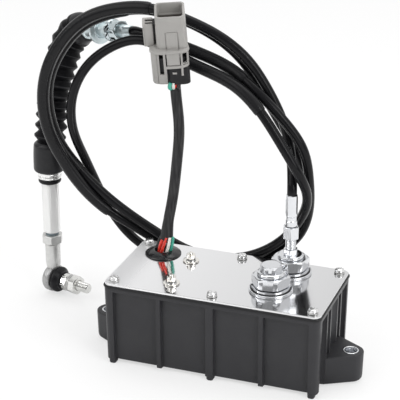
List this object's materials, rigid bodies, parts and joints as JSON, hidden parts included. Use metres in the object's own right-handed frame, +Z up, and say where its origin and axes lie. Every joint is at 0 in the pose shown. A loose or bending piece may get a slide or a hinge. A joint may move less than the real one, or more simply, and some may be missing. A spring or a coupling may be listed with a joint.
{
  "type": "throttle motor",
  "caption": "Electric throttle motor: ribbed plastic gearbox with polished steel lid, two hexagon cable outlets, coiled black control cable with bellows rod end, and a wiring tail.",
  "frame": {"origin": "middle of the housing's footprint on the surface it stands on", "axes": "+Z up, +X along the housing toward the cable outlets, +Y toward the coiled cable"},
  "size_m": [0.3104, 0.1445, 0.2933],
  "materials": {
    "housing_plastic": "fine moulded, slightly dusty",
    "lid_steel": "mirror polished with light handling marks",
    "zinc": "bright zinc plate",
    "yellow_zinc": "yellow zinc plate",
    "black_rubber": "satin",
    "cable_jacket": "glossy extruded jacket",
    "gray_plastic": "satin moulded",
    "black_plastic": "satin moulded",
    "brass": "machined",
    "acetal": "moulded",
    "board": "lacquered",
    "red_wire": "extruded",
    "white_wire": "extruded",
    "green_wire": "extruded"
  },
  "bodies": {
    "motor_unit": {"bellows_boot": "black_rubber", "cable_ferrule": "zinc", "cable_jam_nut": "zinc", "circuit_board": "board", "connector_insert": "black_plastic", "connector_latch": "gray_plastic", "connector_shell": "gray_plastic", "control_cable": "cable_jacket", "drive_motor": "zinc", "drum_wire": "zinc", "ear_bushing_left": "zinc", "ear_bushing_right": "zinc", "end_hub_body": "zinc", "end_hub_flange_nut": "zinc", "end_hub_lock_nut": "zinc", "front_gland_body": "zinc", "front_gland_plug": "zinc", "front_gland_washer_large": "zinc", "front_gland_washer_small": "zinc", "gear_frame": "zinc", "housing": "housing_plastic", "idler_axle": "zinc", "lid_gasket": "black_rubber", "lid_plate": "lid_steel", "lid_screw_1": "zinc", "lid_screw_2": "zinc", "lid_screw_3": "zinc", "lid_screw_4": "zinc", "lid_screw_5": "zinc", "lid_screw_6": "zinc", "motor_screw_back": "yellow_zinc", "motor_screw_front": "yellow_zinc", "motor_washer_back": "yellow_zinc", "motor_washer_front": "yellow_zinc", "position_sensor": "black_plastic", "rear_gland_body": "zinc", "rear_gland_collar": "zinc", "rear_gland_washer_large": "zinc", "rear_gland_washer_small": "zinc", "wire_green": "green_wire", "wire_grommet": "black_rubber", "wire_loom": "cable_jacket", "wire_red_1": "red_wire", "wire_red_2": "red_wire", "wire_white": "white_wire"},
    "drum": {"output_gear": "acetal", "output_shaft": "zinc", "cable_drum": "acetal"},
    "idler": {"idler_gear": "acetal"},
    "motor_rotor": {"motor_pinion": "brass"},
    "pull_rod": {"boot_ring": "zinc", "boot_seal": "black_rubber", "inner_rod": "zinc", "hex_coupling": "zinc", "lock_nut": "zinc", "rod_end": "zinc"},
    "cap": {"dust_cap": "black_rubber"},
    "stud": {"ball_stud": "zinc", "stud_nut": "zinc"}
  },
  "joints": [
    {"name": "drum_turn", "type": "hinge", "parent": "motor_unit", "child": "drum", "pos_m": [0.042, 0.0076, 0.034], "axis": [1, 0, 0], "range_deg": [-2, 92]},
    {"name": "idler_spin", "type": "hinge", "parent": "motor_unit", "child": "idler", "pos_m": [-0.005, -0.01838, 0.03104], "axis": [1, 0, 0], "range_deg": [-305, 5]},
    {"name": "motor_spin", "type": "hinge", "parent": "motor_unit", "child": "motor_rotor", "pos_m": [-0.008, -0.0045, 0.047], "axis": [1, 0, 0], "range_deg": [-10, 765]},
    {"name": "rod_slide", "type": "slide", "parent": "motor_unit", "child": "pull_rod", "axis": [0, 0, 1], "range_m": [0, 0.028], "deforming": ["bellows_boot"]},
    {"name": "stud_tilt", "type": "hinge", "parent": "pull_rod", "child": "cap", "pos_m": [-0.1835, 0.061, 0.013], "axis": [0, 0, 1], "range_deg": [-8, 8]},
    {"name": "stud_spin", "type": "hinge", "parent": "cap", "child": "stud", "pos_m": [-0.1835, 0.061, 0.013], "axis": [0.9617, -0.2739, 0], "range_deg": [-180, 180]}
  ],
  "couplings": [
    {"joint": "drum_turn", "follows": "rod_slide", "rad_per_m": 55.556},
    {"joint": "idler_spin", "follows": "rod_slide", "rad_per_m": -185.19},
    {"joint": "motor_spin", "follows": "rod_slide", "rad_per_m": 462.96}
  ]
}
